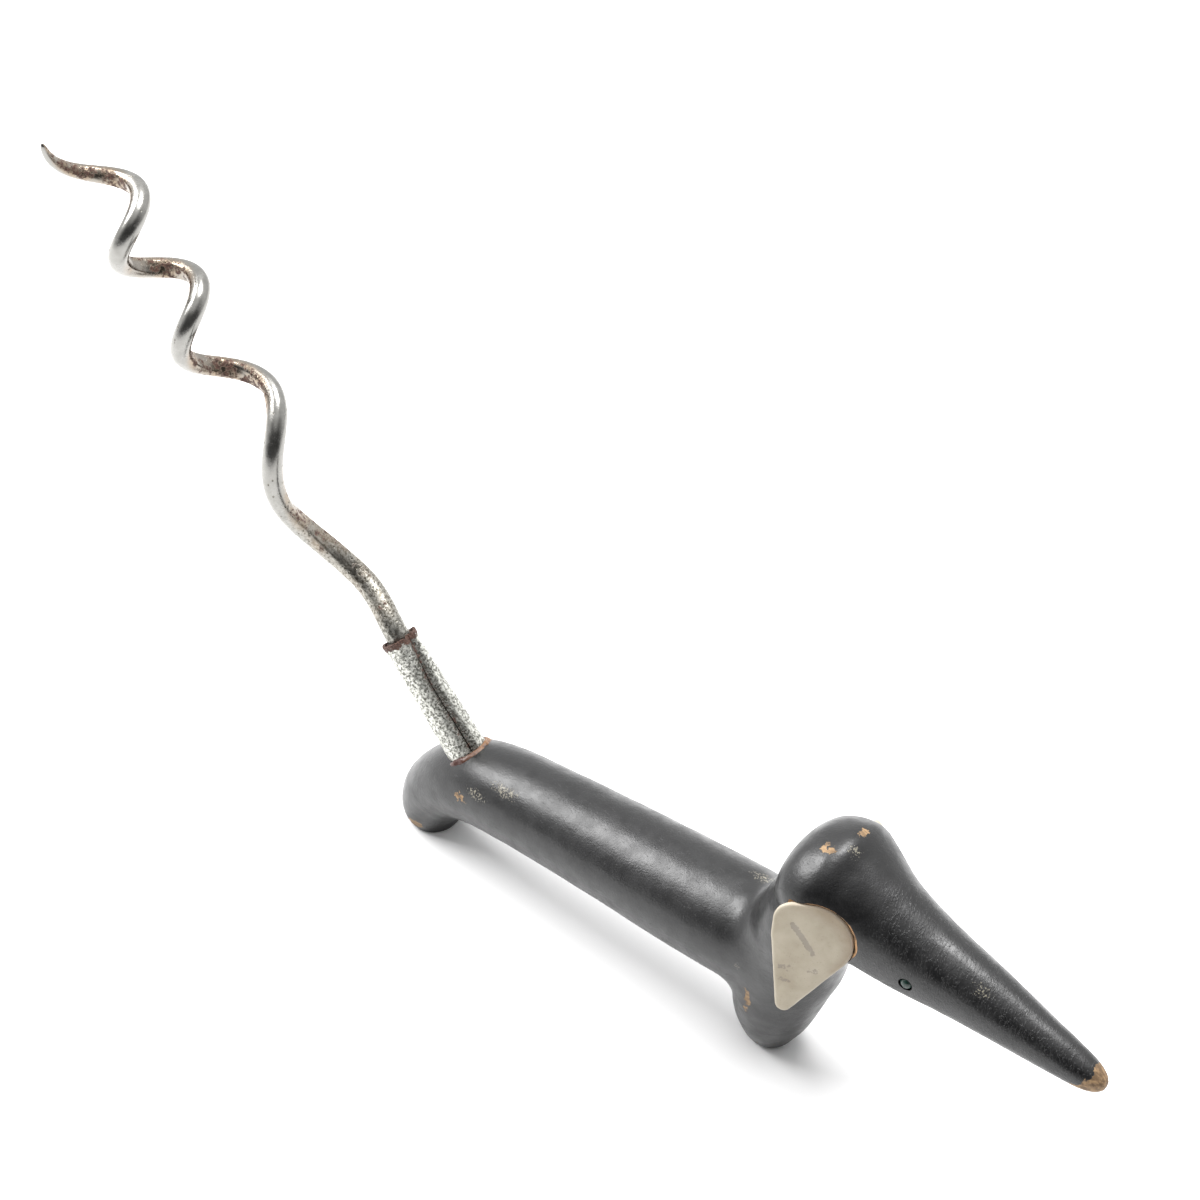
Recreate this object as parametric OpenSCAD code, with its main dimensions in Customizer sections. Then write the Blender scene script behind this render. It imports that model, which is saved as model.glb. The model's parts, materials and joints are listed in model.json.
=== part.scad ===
// Corkscrew carved as a sausage dog: the worm is its tail and the whole dog is the grip.
// Millimetres. The nose points along +X, +Z is up and both feet stand on z = 0.

/* [Body] */
// Distance between the middles of the two feet, along the floor
foot_gap = 50.6; // [48:0.1:53]
// Thickness of the back just in front of the tail
rump_d = 10.3; // [9.6:0.1:11]
// Thickness of the back where it runs into the chest
chest_d = 12.6; // [12:0.1:13.4]
// Width of the skull across the ears
skull_w = 14.8; // [14.2:0.1:15.4]
// Length of the muzzle, from the middle of the skull to the nose
muzzle_l = 35.8; // [33:0.1:38]
// Height of the middle of the skull above the floor
skull_h = 32.6; // [31.8:0.1:33.4]

/* [Ears] */
// Width of an ear, across its round upper end
ear_w = 9.0; // [8:0.1:10]
// Length of an ear, from its round upper end to its tip
ear_l = 14.6; // [13:0.1:16]
// Thickness of the leather
ear_t = 0.9; // [0.7:0.1:1.1]
// Angle by which an ear faces forward from straight sideways
ear_forward = 25; // [20:1:30]
// Angle by which an ear's lower end stands out
ear_flare = 12; // [8:1:16]

/* [Eyes] */
// Diameter of the glass bead
bead_d = 1.6; // [1.2:0.1:2]
// Length of the wire stem behind the bead
stem_l = 2.4; // [1.5:0.1:3]

/* [Worm] */
// Diameter of the worm's wire at the shank
wire_d = 2.84; // [2.4:0.02:3]
// Diameter of the same wire where it is drawn down in the coils
coil_wire_d = 2.4; // [2:0.02:2.8]
// Radius of the coil, to the middle of the wire
coil_r = 3.1; // [2.6:0.1:3.8]
// Pitch of the tight turns near the point
coil_pitch = 10.9; // [10:0.1:13]
// Length of the worm beyond the ferrule, along the tail's axis
worm_l = 69; // [64:0.5:75]
// Angle by which the tail leans back from upright
tail_lean = 41.1; // [38:0.1:44]

/* [Ferrule] */
// Length of the ferrule that shows above the wood
ferrule_l = 15.9; // [13:0.1:18]
// Outside diameter of the ferrule at the wood
ferrule_base_d = 4.8; // [4.6:0.1:5.2]
// Outside diameter of the ferrule at its mouth
ferrule_mouth_d = 4.1; // [4:0.1:4.4]
// Thickness of the ferrule's rolled sheet
ferrule_t = 0.35; // [0.3:0.05:0.4]

/* [Hidden] */

$fn = 48;
section_n = 32;            // points around each carved section
span_steps = 3;            // rings that each span between two sections is cut into

lacquer = [0.10, 0.10, 0.10];
steel = [0.72, 0.72, 0.70];
plating = [0.60, 0.60, 0.57];
rust = [0.36, 0.22, 0.15];
amber_glue = [0.62, 0.36, 0.16];
ear_leather = [0.67, 0.62, 0.54];
green_glass = [0.05, 0.16, 0.12];

origin_x = -1.7;           // brings the middle of the whole length to x = 0
front_foot_x = 26.6;       // middle of the front sole, before that shift
rear_foot_x = front_foot_x - foot_gap;
rump_r = rump_d / 2;
chest_r = chest_d / 2;
skull_r = skull_w / 2;
skull_x = 34.5;
nose_x = skull_x + muzzle_l;

// The carving is three runs of elliptical sections. Each section is
// [x, z, angle of the run above the floor, half width, half depth].
back_run = [
    [rear_foot_x + 0.2, -1.0, 104, 2.9, 2.5],
    [rear_foot_x, 0.2, 102, 3.3, 2.9],
    [rear_foot_x - 0.2, 1.4, 97, 3.8, 3.5],
    [rear_foot_x - 0.1, 3.2, 80, 4.2, 4.0],
    [rear_foot_x + 1.0, 5.8, 58, 4.5, 4.3],
    [rear_foot_x + 3.4, 8.6, 36, 4.8, 4.6],
    [rear_foot_x + 6.8, 10.7, 20, rump_r, rump_r - 0.15],
    [rear_foot_x + 11, 12.0, 10, rump_r + 0.25, rump_r + 0.15],
    [-5, 13.1, 7, 5.7, 5.5],
    [5, 14.1, 6, 6.1, 5.8],
    [15, 14.9, 6, chest_r + 0.2, chest_r - 0.1],
    [24, 15.7, 8, chest_r + 0.4, chest_r + 0.1],
    [27, 16.2, 8, chest_r - 1, chest_r - 1.2]];

chest_run = [
    [front_foot_x - 0.2, -1.0, 80, 2.0, 2.1],
    [front_foot_x, 0.1, 80, 2.5, 2.6],
    [front_foot_x + 0.2, 1.8, 82, 3.4, 3.4],
    [front_foot_x + 0.6, 5.0, 82, 4.6, 4.6],
    [28.0, 10, 80, 5.7, 5.6],
    [29.2, 15, 78, chest_r - 0.1, chest_r - 0.1],
    [30.6, 20, 72, chest_r, chest_r - 0.3],
    [32.7, 25, 62, chest_r + 0.1, chest_r - 0.4],
    [35.0, 29, 50, chest_r, chest_r - 0.2]];

head_run = [
    [skull_x - 5.2, skull_h - 0.1, -12, 2.2, 1.6],
    [skull_x - 4.7, skull_h, -12, 4.4, 3.3],
    [skull_x - 3.1, skull_h - 0.1, -12, 6.6, 5.1],
    [skull_x, skull_h - 0.4, -12, skull_r + 0.2, 6.3],
    [skull_x + 3.0, skull_h - 1.6, -10, skull_r - 0.1, 6.1],
    [skull_x + 7.0, skull_h - 3.1, -9, 5.7, 5.8],
    [skull_x + 12.5, skull_h - 4.2, -8, 4.7, 4.9],
    [skull_x + 19.0, skull_h - 4.8, -8, 3.8, 3.9],
    [skull_x + 26.5, skull_h - 5.8, -8, 2.8, 2.9],
    [nose_x - 3.2, skull_h - 6.6, -8, 2.0, 2.0],
    [nose_x - 0.9, skull_h - 6.9, -8, 1.3, 1.3],
    [nose_x, skull_h - 7.0, -8, 0.5, 0.5]];

// Tail: the socket's mouth lies on the rump and its axis leans back by tail_lean.
tail_x = rear_foot_x + 5.4;
tail_z = 14.6;
shank_depth = 6.5;         // wire in the wood
ferrule_depth = 2.5;       // ferrule in the wood
filler_l = 3;
seam_w = 0.3;              // gap left where the rolled sheet meets
seam_angle = -18;
fit_gap = 0.02;

coil_start = 128;          // phase of the coil at the ferrule's mouth, degrees
neck_pitch = 128;          // the wire hardly turns where it leaves the ferrule
settle_l = 62;             // the pitch tightens to coil_pitch over this length
neck_l = 9;                // the coil opens to its full radius over this length
coil_shift = 0.6;          // the coil is a little off the shank's axis
coil_bend = 3.7;           // and is bent to the dog's right by this angle
coil_lift = 1.7;           // and up, towards the head, by this angle
open_l = 14;               // near the point the last turn opens out
open_rate = 0.67;          // by this many degrees per square millimetre
point_l = 9;               // the wire is ground to a point over this length
point_r = 0.12;
wire_sides = 16;
wire_step = 0.75;

// Ears: a seat is cut in each side of the head and the leather is glued in it.
ear_middle = [36.9, 8.2, 28.1];
ear_gap = 0.15;            // between the leather's edge and the seat's wall
flap_t = ear_t - 0.1;      // the loose part is pared thinner, and clears the wood
split_gap = 0.05;
split_angle = -25;         // lower edge of the glue, in the ear's own plane
split_u = 0.5;
split_v = 1.7;
seat_h = 6;

// Eyes
eye_x = skull_x + 13;
eye_y = 4.3;
eye_z = 28.4;
eye_toe = 8;               // the beads look a little forward
bead_sink = 1.1;
stem_d = 0.5;

// ---------- curves ----------

function smooth(t) = let (u = min(1, max(0, t))) u * u * (3 - 2 * u);

// One number of a Catmull-Rom curve through a, b, c, d.
function spline(a, b, c, d, t) = b + 0.5 * t * (c - a
    + t * (2 * a - 5 * b + 4 * c - d + t * (3 * (b - c) + d - a)));

function between(run, i, t) = let (last = len(run) - 1)
    [for (k = [0:4]) spline(run[max(0, i - 1)][k], run[i][k], run[i + 1][k],
        run[min(last, i + 2)][k], t)];

function refined(run) = concat(
    [for (i = [0:len(run) - 2], s = [0:span_steps - 1]) between(run, i, s / span_steps)],
    [run[len(run) - 1]]);

function section_ring(s) = [for (i = [0:section_n - 1]) let (a = 360 * i / section_n)
    [s[0] - sin(s[2]) * s[4] * sin(a), -s[3] * cos(a), s[1] + cos(s[2]) * s[4] * sin(a)]];

// A closed skin over rings that all have the same number of points.
module skin(rings) {
    n = len(rings[0]);
    m = len(rings);
    points = [for (r = rings) each r];
    sides = [for (i = [0:m - 2], j = [0:n - 1]) let (k = (j + 1) % n) each [
        [i * n + j, i * n + k, (i + 1) * n + k],
        [i * n + j, (i + 1) * n + k, (i + 1) * n + j]]];
    first = [for (j = [n - 1:-1:0]) j];
    last = [for (j = [0:n - 1]) (m - 1) * n + j];
    polyhedron(points, concat(sides, [first, last]));
}

module carved(run) skin([for (s = refined(run)) section_ring(s)]);

// ---------- places ----------

module in_dog() translate([-origin_x, 0, 0]) children();

module at_tail() in_dog() translate([tail_x, 0, tail_z]) rotate([0, -tail_lean, 0]) children();

// The right side is side = -1 and the left side is side = 1.
module on_side(side) in_dog() if (side < 0) children(); else mirror([0, 1, 0]) children();

// An ear's own plane: X runs forward along it, Y up along it and Z out of the head.
module at_ear() translate([ear_middle[0], -ear_middle[1], ear_middle[2]])
    rotate([0, 0, ear_forward]) rotate([90 - ear_flare, 0, 0]) children();

module at_eye() translate([eye_x, -eye_y, eye_z]) rotate([0, 0, eye_toe]) rotate([90, 0, 0])
    children();

// ---------- pieces ----------

module ear_outline(grow) hull() {
    translate([0.65, ear_l * 0.144]) circle(r = ear_w / 2 + grow);
    translate([-1.4, ear_l * 0.267]) circle(r = ear_w * 0.267 + grow);
    translate([-1.75, -ear_l * 0.486]) circle(r = 0.95 + grow);
}

module glued_side(gap) translate([split_u, split_v]) rotate(split_angle)
    translate([-20, gap]) square([40, 20]);

module loose_side(gap) translate([split_u, split_v]) rotate(split_angle)
    translate([-20, -20 - gap]) square([40, 20]);

module body() color(lacquer) difference() {
    in_dog() resize([0, 0, 0]) union() {
        carved(back_run);
        carved(chest_run);
        carved(head_run);
    }
    translate([-100, -50, -20]) cube([200, 100, 20]);
    at_tail() {
        translate([0, 0, -shank_depth]) cylinder(h = shank_depth + 5, d = wire_d + 2 * fit_gap);
        translate([0, 0, -ferrule_depth])
            cylinder(h = ferrule_depth + 5, d = ferrule_base_d + 2 * fit_gap);
    }
    for (side = [-1, 1]) on_side(side) {
        at_ear() translate([0, 0, -ear_t]) linear_extrude(seat_h) ear_outline(ear_gap);
        at_eye() translate([0, 0, -bead_sink]) cylinder(h = bead_sink + 2, d = bead_d + 2 * fit_gap);
        at_eye() translate([0, 0, -bead_sink - stem_l])
            cylinder(h = stem_l + 1, d = stem_d + 2 * fit_gap);
    }
}

// Turns of the wire between the ferrule's mouth and a point s further along the tail's axis.
function turns(s) = let (u = min(1, max(0, s / settle_l)))
    s / neck_pitch + (1 / coil_pitch - 1 / neck_pitch)
        * (settle_l * (u * u * u - u * u * u * u / 2) + max(0, s - settle_l));
function phase(s) = coil_start + 360 * turns(s)
    - open_rate * pow(max(0, s - worm_l + open_l), 2);
function wire_middle(s) = let (open = smooth(s / neck_l))
    [coil_r * open * cos(phase(s)) + tan(coil_lift) * max(0, s),
     coil_r * open * sin(phase(s)) + coil_shift * open - tan(coil_bend) * max(0, s),
     ferrule_l + s];
function wire_r(s) = let (to_go = worm_l - s, body_r = wire_d / 2
        - (wire_d - coil_wire_d) / 2 * smooth(s / (worm_l / 2)))
    to_go > point_l ? body_r : point_r + (body_r - point_r) * sqrt(max(0, to_go / point_l));
function unit(v) = v / norm(v);
function wire_ring(s) = let (
        along = s <= 0 ? [0, 0, 1] : unit(wire_middle(s + 0.05) - wire_middle(s - 0.05)),
        out0 = [cos(phase(max(0, s))), sin(phase(max(0, s))), 0],
        out = unit(out0 - along * (out0 * along)),
        across = cross(along, out))
    [for (i = [0:wire_sides - 1]) let (a = 360 * i / wire_sides)
        wire_middle(s) + wire_r(s) * (cos(a) * out + sin(a) * across)];

module worm() color(steel) at_tail() skin(concat(
    [wire_ring(-ferrule_l - shank_depth + 0.1), wire_ring(0)],
    [for (s = [wire_step:wire_step:worm_l - 0.2]) wire_ring(s)],
    [wire_ring(worm_l)]));

module ferrule() color(plating) at_tail() difference() {
    union() {
        translate([0, 0, -ferrule_depth]) cylinder(h = ferrule_depth, d = ferrule_base_d);
        cylinder(h = ferrule_l, d1 = ferrule_base_d, d2 = ferrule_mouth_d);
    }
    translate([0, 0, -ferrule_depth - 1])
        cylinder(h = ferrule_depth + 1, d = ferrule_base_d - 2 * ferrule_t);
    cylinder(h = ferrule_l, d1 = ferrule_base_d - 2 * ferrule_t,
        d2 = ferrule_mouth_d - 2 * ferrule_t);
    rotate([0, 0, seam_angle]) translate([0, -seam_w / 2, -ferrule_depth - 1])
        cube([5, seam_w, ferrule_l + ferrule_depth + 2]);
}

// Rust and cement that close the ring between the wire and the ferrule's mouth.
module ferrule_filler() color(rust) at_tail() difference() {
    mouth_r = ferrule_mouth_d / 2 - ferrule_t;
    deep_r = mouth_r + (ferrule_base_d - ferrule_mouth_d) / 2 * filler_l / ferrule_l;
    translate([0, 0, ferrule_l - filler_l]) cylinder(h = filler_l, r1 = deep_r, r2 = mouth_r);
    translate([0, 0, ferrule_l - filler_l - 1]) cylinder(h = filler_l + 2, d = wire_d);
}

// Glue squeezed out round the ferrule where it enters the wood.
module socket_glue() color(amber_glue) at_tail() rotate_extrude()
    polygon([[ferrule_base_d / 2, -0.6], [ferrule_base_d / 2 + 0.6, -0.6],
        [ferrule_base_d / 2 + 0.75, 0.1], [ferrule_base_d / 2 + 0.35, 0.4],
        [ferrule_base_d / 2, 0.45]]);

module ear_root() color(ear_leather) at_ear() translate([0, 0, -ear_t])
    linear_extrude(ear_t) intersection() {
        ear_outline(0);
        glued_side(split_gap);
    }

module ear_flap() color(ear_leather) at_ear() translate([0, 0, -flap_t])
    linear_extrude(flap_t) intersection() {
        ear_outline(0);
        loose_side(0);
    }

module ear_root_right() on_side(-1) ear_root();
module ear_root_left() on_side(1) ear_root();
module ear_flap_right() on_side(-1) ear_flap();
module ear_flap_left() on_side(1) ear_flap();

module eye() color(green_glass) at_eye()
    translate([0, 0, -bead_sink + bead_d / 2]) sphere(d = bead_d);

module eye_pin() color(steel) at_eye() difference() {
    translate([0, 0, -bead_sink - stem_l + 0.1]) cylinder(h = stem_l + 0.2, d = stem_d);
    translate([0, 0, -bead_sink + bead_d / 2]) sphere(d = bead_d);
}

module eye_right() on_side(-1) eye();
module eye_left() on_side(1) eye();
module eye_pin_right() on_side(-1) eye_pin();
module eye_pin_left() on_side(1) eye_pin();

body();
worm();
ferrule();
ferrule_filler();
socket_glue();
ear_root_right();
ear_flap_right();
ear_root_left();
ear_flap_left();
eye_right();
eye_left();
eye_pin_right();
eye_pin_left();
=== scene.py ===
# The looks of a corkscrew carved as a sausage dog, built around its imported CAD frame.
# Lengths are in millimetres until a mesh is finished; MM turns them into the frame's metres.
import json
from math import cos, degrees, pi, radians, sin

import bpy
import numpy as np
from mathutils import Matrix, Vector, noise
from mathutils.bvhtree import BVHTree
from mathutils.geometry import convex_hull_2d


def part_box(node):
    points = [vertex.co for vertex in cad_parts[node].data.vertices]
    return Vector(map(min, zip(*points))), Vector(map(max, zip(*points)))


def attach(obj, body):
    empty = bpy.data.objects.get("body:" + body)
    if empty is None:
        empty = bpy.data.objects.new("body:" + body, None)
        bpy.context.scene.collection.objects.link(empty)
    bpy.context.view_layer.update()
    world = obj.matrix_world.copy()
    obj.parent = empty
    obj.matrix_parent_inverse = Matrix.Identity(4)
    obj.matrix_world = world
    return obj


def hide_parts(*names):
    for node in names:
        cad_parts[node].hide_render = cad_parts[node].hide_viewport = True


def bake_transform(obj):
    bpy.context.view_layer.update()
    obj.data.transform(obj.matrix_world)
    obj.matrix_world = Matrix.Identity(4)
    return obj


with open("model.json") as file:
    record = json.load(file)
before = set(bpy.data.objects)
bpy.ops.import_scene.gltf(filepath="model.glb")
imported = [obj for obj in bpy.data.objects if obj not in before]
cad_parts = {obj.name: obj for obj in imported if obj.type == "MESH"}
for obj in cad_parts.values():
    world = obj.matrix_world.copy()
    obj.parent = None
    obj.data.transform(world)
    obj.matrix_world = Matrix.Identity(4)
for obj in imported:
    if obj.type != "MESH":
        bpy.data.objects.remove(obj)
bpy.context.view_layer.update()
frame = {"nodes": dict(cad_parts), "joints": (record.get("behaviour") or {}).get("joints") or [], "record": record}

MM = 0.001
PER_M = 1000

# ---------- places, from the frame ----------

MOUNTS = {mount["name"]: mount for mount in frame["record"]["mounts"]}
JOINTS = {joint["name"]: joint for joint in frame["joints"]}

# The carving's sections are measured from a point under the belly, FRONT_FOOT_X behind the front sole.
FRONT_FOOT_X = 26.6
DOG_SHIFT = MOUNTS["front_foot_rest"]["pos_m"][0] * PER_M - FRONT_FOOT_X

# Tail: Z runs up along the worm from the wood, Y is the dog's left and X is uphill, towards the head.
FERRULE_L = 15.9
FERRULE_DEPTH = 2.5
FERRULE_BASE_R = 2.4
FERRULE_MOUTH_R = 2.05
FERRULE_T = 0.35
SHANK_DEPTH = 6.4
SHANK_R = 1.42
tail_up = Vector(MOUNTS["worm_axis"]["axis"]).normalized()
tail_left = Vector((0, 1, 0))
tail_ahead = tail_left.cross(tail_up)
tail_foot = Vector(MOUNTS["worm_axis"]["pos_m"]) * PER_M - tail_up * FERRULE_L
TAIL = Matrix((tail_ahead, tail_left, tail_up)).transposed().to_4x4()
TAIL.translation = tail_foot

# Ear: X runs forward along the leather, Y up along it and Z out of the head.
EAR_MIDDLE = Vector((36.9 + DOG_SHIFT, -8.2, 28.1))
EAR = (Matrix.Translation(EAR_MIDDLE) @ Matrix.Rotation(radians(25), 4, "Z")
       @ Matrix.Rotation(radians(78), 4, "X"))
TO_LEFT = Matrix.Diagonal((1, -1, 1, 1))

# ---------- camera, light and floor ----------

CAMERA_AZIMUTH = radians(40.64)
CAMERA_ELEVATION = radians(44.41)
CAMERA_AWAY = 450
CAMERA_ASIDE = 1.12
CAMERA_RAISED = 36.5
CAMERA_LENS = 116.1


def make_camera():
    right = Vector((cos(CAMERA_AZIMUTH), sin(CAMERA_AZIMUTH), 0))
    back = Vector((sin(CAMERA_AZIMUTH) * cos(CAMERA_ELEVATION),
                   -cos(CAMERA_AZIMUTH) * cos(CAMERA_ELEVATION), sin(CAMERA_ELEVATION)))
    up = back.cross(right)
    data = bpy.data.cameras.new("camera")
    data.lens = CAMERA_LENS
    data.sensor_width = 36
    data.clip_start = 0.01
    camera = bpy.data.objects.new("camera", data)
    place = back * CAMERA_AWAY + right * CAMERA_ASIDE + up * CAMERA_RAISED
    camera.location = (place + Vector((DOG_SHIFT, 0, 0))) * MM
    camera.rotation_euler = Matrix((right, up, back)).transposed().to_euler()
    bpy.context.scene.collection.objects.link(camera)
    bpy.context.scene.camera = camera


def make_softbox(name, azimuth, elevation, size, power):
    """An area light at that azimuth and elevation from the dog, facing it."""
    data = bpy.data.lights.new(name, "AREA")
    data.shape = "RECTANGLE"
    data.size, data.size_y = size
    data.energy = power
    light = bpy.data.objects.new(name, data)
    a, e = radians(azimuth), radians(elevation)
    towards = Vector((sin(a) * cos(e), -cos(a) * cos(e), sin(e)))
    light.location = towards * SOFTBOX_AWAY + SOFTBOX_AIM
    light.rotation_euler = towards.to_track_quat("Z", "Y").to_euler()
    bpy.context.scene.collection.objects.link(light)


WHITE_WALL = 1.3           # light from behind the dog and from its sides
DARK_ROOM = 0.10           # light from behind the camera
WHITE_CEILING = 1.25
SOFTBOX_AIM = Vector((0, 0, 0.02))
SOFTBOX_AWAY = 0.9         # metres, as are its aim and its sides; the power is in watts
# azimuth, elevation, (width, height), power
SIDE_SOFTBOX = (-75, 45, (0.5, 0.5), 10)
OVERHEAD_SOFTBOX = (187, 70, (0.36, 0.36), 8)


def light_studio():
    scene = bpy.context.scene
    scene.view_settings.view_transform = "Standard"
    world = bpy.data.worlds.new("studio")
    world.use_nodes = True
    tree = world.node_tree
    background = tree.nodes["Background"]
    background.inputs["Color"].default_value = (1, 1, 1, 1)
    direction = add(tree, "ShaderNodeTexCoord").outputs["Generated"]
    height = add(tree, "ShaderNodeSeparateXYZ", Vector=direction).outputs["Z"]
    room_side = (sin(CAMERA_AZIMUTH), -cos(CAMERA_AZIMUTH), 0)
    facing_room = vector_maths(tree, "DOT_PRODUCT", direction, room_side)
    walls = between(tree, facing_room, -0.2, 0.7, WHITE_WALL, DARK_ROOM)
    ceiling = between(tree, height, 0.6, 1.0, 0.0, WHITE_CEILING)
    give(tree, background.inputs["Strength"], maths(tree, "MAXIMUM", walls, ceiling))
    scene.world = world
    make_softbox("softbox_side", *SIDE_SOFTBOX)
    make_softbox("softbox_overhead", *OVERHEAD_SOFTBOX)


# ---------- node helpers ----------

class Field:
    """A socket that carries a number and can stand in a sum, so that a node formula reads as one."""

    def __init__(self, tree, socket):
        self.tree = tree
        self.socket = socket

    def __add__(self, other):
        return maths(self.tree, "ADD", self, other)

    def __sub__(self, other):
        return maths(self.tree, "SUBTRACT", self, other)

    def __rsub__(self, other):
        return maths(self.tree, "SUBTRACT", other, self)

    def __mul__(self, other):
        return maths(self.tree, "MULTIPLY", self, other)

    def __truediv__(self, other):
        return maths(self.tree, "DIVIDE", self, other)

    __radd__ = __add__
    __rmul__ = __mul__


def give(tree, socket, value):
    """Links a socket or Field to an input, or sets the input to a plain value."""
    if isinstance(value, Field):
        value = value.socket
    if isinstance(value, bpy.types.NodeSocket):
        tree.links.new(value, socket)
    elif socket.type == "RGBA" and len(value) == 3:
        socket.default_value = (*value, 1)
    else:
        socket.default_value = value


def add(tree, kind, settings=None, **inputs):
    """A new node with those settings; an input's spaces are written as underscores."""
    node = tree.nodes.new(kind)
    for name, value in (settings or {}).items():
        setattr(node, name, value)
    for name, value in inputs.items():
        give(tree, node.inputs[name.replace("_", " ")], value)
    return node


def maths(tree, operation, *values, clamp=False):
    node = tree.nodes.new("ShaderNodeMath")
    node.operation = operation
    node.use_clamp = clamp
    for socket, value in zip(node.inputs, values):
        give(tree, socket, value)
    return Field(tree, node.outputs[0])


def vector_maths(tree, operation, *values):
    node = tree.nodes.new("ShaderNodeVectorMath")
    node.operation = operation
    for socket, value in zip(node.inputs, values):
        give(tree, socket, value)
    return node.outputs[1] if operation in ("LENGTH", "DOT_PRODUCT") else node.outputs[0]


def between(tree, value, low, high, to_low=0.0, to_high=1.0, smooth=True):
    """value brought from low..high to to_low..to_high, with an S-shaped step unless smooth is off."""
    node = add(tree, "ShaderNodeMapRange",
               {"interpolation_type": "SMOOTHSTEP" if smooth else "LINEAR"},
               Value=value, From_Min=low, From_Max=high, To_Min=to_low, To_Max=to_high)
    return Field(tree, node.outputs["Result"])


def mixed(tree, share, first, second):
    """A colour between first and second; share 0 gives first."""
    node = tree.nodes.new("ShaderNodeMix")
    node.data_type = "RGBA"
    give(tree, node.inputs[0], share)
    give(tree, node.inputs[6], first)
    give(tree, node.inputs[7], second)
    return node.outputs[2]


def clouds(tree, place, scale, detail=3.0, roughness=0.55):
    """Noise between 0 and 1 with scale features in a millimetre."""
    node = add(tree, "ShaderNodeTexNoise", Vector=place, Scale=scale, Detail=detail,
               Roughness=roughness)
    return Field(tree, node.outputs["Fac"])


def group_tree(name, kind, inputs, outputs):
    """A node group with those sockets, each given as (name, socket type, default)."""
    tree = bpy.data.node_groups.new(name, kind)
    for label, socket_type, default in inputs:
        socket = tree.interface.new_socket(label, in_out="INPUT", socket_type=socket_type)
        if default is not None:
            socket.default_value = default
    for label, socket_type in outputs:
        tree.interface.new_socket(label, in_out="OUTPUT", socket_type=socket_type)
    return tree, tree.nodes.new("NodeGroupInput"), tree.nodes.new("NodeGroupOutput")


def use(tree, group, **inputs):
    node = tree.nodes.new("ShaderNodeGroup")
    node.node_tree = group
    for name, value in inputs.items():
        give(tree, node.inputs[name.replace("_", " ")], value)
    return node


FLOAT, VECTOR, COLOUR = "NodeSocketFloat", "NodeSocketVector", "NodeSocketColor"

# ---------- shared surface effects ----------


def worn_patch_group():
    """Mask of a patch where the coat is gone: whole at Cover 1.5, thin flecks at about 0.5."""
    tree, given, result = group_tree(
        "worn_patch", "ShaderNodeTree",
        [("Place", VECTOR, None), ("Centre", VECTOR, None), ("Reach", VECTOR, (1, 1, 1)),
         ("Cover", FLOAT, 1.0), ("Grain", FLOAT, 1.0)],
        [("Mask", FLOAT)])
    away = vector_maths(tree, "SUBTRACT", given.outputs["Place"], given.outputs["Centre"])
    away = vector_maths(tree, "DIVIDE", away, given.outputs["Reach"])
    near = 1 - Field(tree, vector_maths(tree, "LENGTH", away))
    level = maths(tree, "MULTIPLY", near, 1.6, clamp=True)
    texture = clouds(tree, given.outputs["Place"], given.outputs["Grain"], 4, 0.62)
    texture = between(tree, texture, 0.3, 0.7, smooth=False)
    edge = 1 - level * Field(tree, given.outputs["Cover"])
    mask = between(tree, texture - edge, -0.04, 0.06) * between(tree, level, 0.0, 0.15)
    give(tree, result.inputs["Mask"], mask)
    return tree


def specks_group():
    """Mask of small round specks, one to a cell of Spacing millimetres in a Share of the cells."""
    tree, given, result = group_tree(
        "specks", "ShaderNodeTree",
        [("Place", VECTOR, None), ("Spacing", FLOAT, 1.0), ("Size", FLOAT, 0.2),
         ("Share", FLOAT, 0.3)],
        [("Mask", FLOAT)])
    spacing = Field(tree, given.outputs["Spacing"])
    cells = add(tree, "ShaderNodeTexVoronoi", Vector=given.outputs["Place"],
                Scale=maths(tree, "DIVIDE", 1.0, spacing))
    distance = Field(tree, cells.outputs["Distance"]) * spacing
    radius = Field(tree, given.outputs["Size"]) * 0.5
    dot = between(tree, distance / radius, 1.1, 0.6)
    split = add(tree, "ShaderNodeSeparateColor", Color=cells.outputs["Color"])
    chosen = maths(tree, "LESS_THAN", Field(tree, split.outputs[0]), given.outputs["Share"])
    give(tree, result.inputs["Mask"], dot * chosen)
    return tree


def hairlines_group():
    """Mask of fine short scratches, about Length by Width millimetres, turned by Turn."""
    tree, given, result = group_tree(
        "hairlines", "ShaderNodeTree",
        [("Place", VECTOR, None), ("Turn", VECTOR, None), ("Length", FLOAT, 2.0),
         ("Width", FLOAT, 0.15), ("Share", FLOAT, 0.3)],
        [("Mask", FLOAT)])
    turned = add(tree, "ShaderNodeVectorRotate", {"rotation_type": "EULER_XYZ"},
                 Vector=given.outputs["Place"], Rotation=given.outputs["Turn"]).outputs[0]
    length, width = (Field(tree, given.outputs[key]) for key in ("Length", "Width"))
    size = add(tree, "ShaderNodeCombineXYZ", X=length, Y=width, Z=width * 2)
    stretched = vector_maths(tree, "DIVIDE", turned, size.outputs[0])
    texture = clouds(tree, stretched, 0.6, 2, 0.5)
    edge = 0.72 - 0.3 * Field(tree, given.outputs["Share"])
    give(tree, result.inputs["Mask"], between(tree, texture - edge, 0, 0.06))
    return tree


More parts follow.
